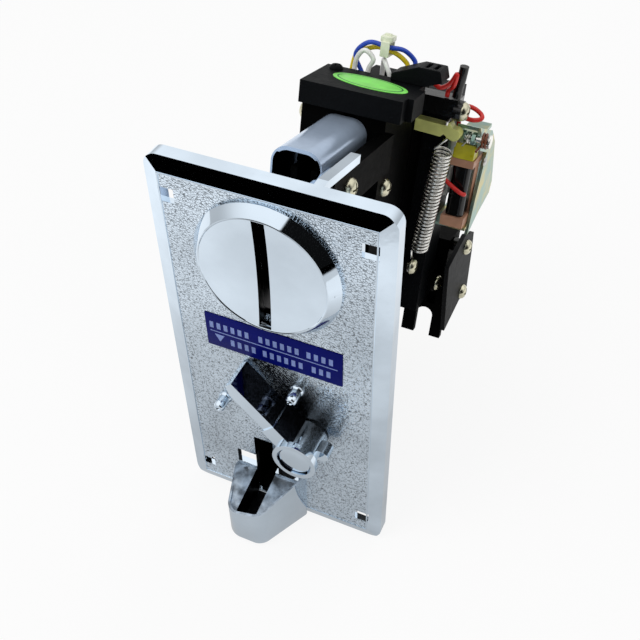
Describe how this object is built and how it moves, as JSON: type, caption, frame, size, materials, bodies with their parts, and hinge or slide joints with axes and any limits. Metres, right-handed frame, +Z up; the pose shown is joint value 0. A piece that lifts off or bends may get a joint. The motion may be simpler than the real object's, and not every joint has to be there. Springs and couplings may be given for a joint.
{
  "type": "coin acceptor",
  "caption": "Chrome door plate with a coin slot, sprung reject lever and return cup, and a sloping electronic coin selector with solenoid, springs and wiring behind it.",
  "frame": {"origin": "centre of the front plate's rear mounting face", "axes": "+X right seen from the front, +Y back into the machine, +Z up"},
  "size_m": [0.0651, 0.1205, 0.1285],
  "materials": {
    "chrome_plate": "plated, fine leather grain in the field",
    "chrome_bright": "polished plating",
    "label_blue": "printed film",
    "screw_steel": "bright zinc",
    "spring_steel": "drawn wire",
    "black_moulded": "fine moulded texture",
    "grey_moulded": "semi-matte",
    "black_gloss": "gloss",
    "sticker_green": "fluorescent film",
    "nylon_natural": "natural nylon",
    "copper_winding": "varnished winding",
    "coin_brass": "worn",
    "board_green": "solder mask",
    "zinc_yellow": "yellow-passivated zinc",
    "bobbin_cream": "moulded",
    "tape_yellow": "polyester tape",
    "soft_iron": "turned",
    "gate_white": "acetal",
    "tie_natural": "natural nylon, slightly see-through",
    "wire_red": "insulation",
    "wire_blue": "insulation",
    "wire_yellow": "insulation",
    "wire_white": "insulation",
    "wire_black": "sleeve"
  },
  "bodies": {
    "housing": {"front_plate": "chrome_plate", "coin_entry_disc": "chrome_bright", "disc_screws": "screw_steel", "label_plate": "label_blue", "return_cup": "chrome_bright", "cup_screws": "screw_steel", "lever_spring": "spring_steel", "inlet_hood": "chrome_bright", "inlet_guide": "black_moulded", "arm_screw": "screw_steel", "body_left": "black_moulded", "body_right": "black_moulded", "left_cover": "black_moulded", "cover_screws": "screw_steel", "top_cap": "grey_moulded", "cap_screws": "screw_steel", "cap_sticker": "sticker_green", "flap_pin": "spring_steel", "tension_spring": "spring_steel", "spring_screw": "screw_steel", "inner_coil": "copper_winding", "outer_coil": "copper_winding", "right_coil": "copper_winding", "sample_coin": "coin_brass", "return_chute": "black_moulded", "connector_box": "grey_moulded", "rear_case": "grey_moulded", "circuit_board": "board_green", "board_screws": "screw_steel", "side_lug": "black_gloss", "body_screws": "screw_steel", "leg_frame": "black_moulded", "gate_block": "black_moulded", "rear_plate": "grey_moulded", "rear_spacers": "black_gloss", "rear_screws": "screw_steel", "solenoid_bracket": "zinc_yellow", "solenoid_bobbin": "bobbin_cream", "solenoid_coil": "black_gloss", "solenoid_core": "soft_iron", "coil_tape": "tape_yellow", "armature_pin": "spring_steel", "armature_spring": "spring_steel", "post_spring": "copper_winding", "cable_tie": "tie_natural", "red_wires": "wire_red", "blue_wire": "wire_blue", "yellow_wire": "wire_yellow", "white_wires": "wire_white", "black_wire": "wire_black"},
    "lever": {"reject_lever": "chrome_bright", "lever_shaft": "chrome_bright", "lever_crank": "zinc_yellow", "crank_pin": "spring_steel", "lever_clip": "spring_steel"},
    "flap": {"release_flap": "black_moulded", "tension_arm": "nylon_natural"},
    "armature": {"armature": "zinc_yellow"},
    "gate": {"accept_gate": "gate_white"}
  },
  "joints": [
    {"name": "lever_press", "type": "hinge", "parent": "housing", "child": "lever", "pos_m": [0.0103, 0, -0.0198], "axis": [0, -1, 0], "range_deg": [0, 32], "stiffness_Nm_per_rad": 0.03, "springref_deg": -20.05, "deforming": ["lever_spring"]},
    {"name": "flap_open", "type": "hinge", "parent": "housing", "child": "flap", "pos_m": [0.0046, 0.06112, 0.04263], "axis": [0, -0.9659, 0.2588], "range_deg": [0, 3.45], "deforming": ["tension_spring"]},
    {"name": "armature_pull", "type": "hinge", "parent": "housing", "child": "armature", "pos_m": [0.026, 0.07422, 0.03436], "axis": [-1, 0, 0], "range_deg": [0, 4.8], "stiffness_Nm_per_rad": 0.02, "springref_deg": -11.46, "deforming": ["armature_spring"]},
    {"name": "gate_swing", "type": "hinge", "parent": "housing", "child": "gate", "pos_m": [0, 0.07731, 0.01034], "axis": [1, 0, 0], "range_deg": [0, 9.5]}
  ],
  "couplings": [
    {"joint": "flap_open", "follows": "lever_press", "ratio": 0.10687},
    {"joint": "gate_swing", "follows": "armature_pull", "ratio": 1.8}
  ]
}
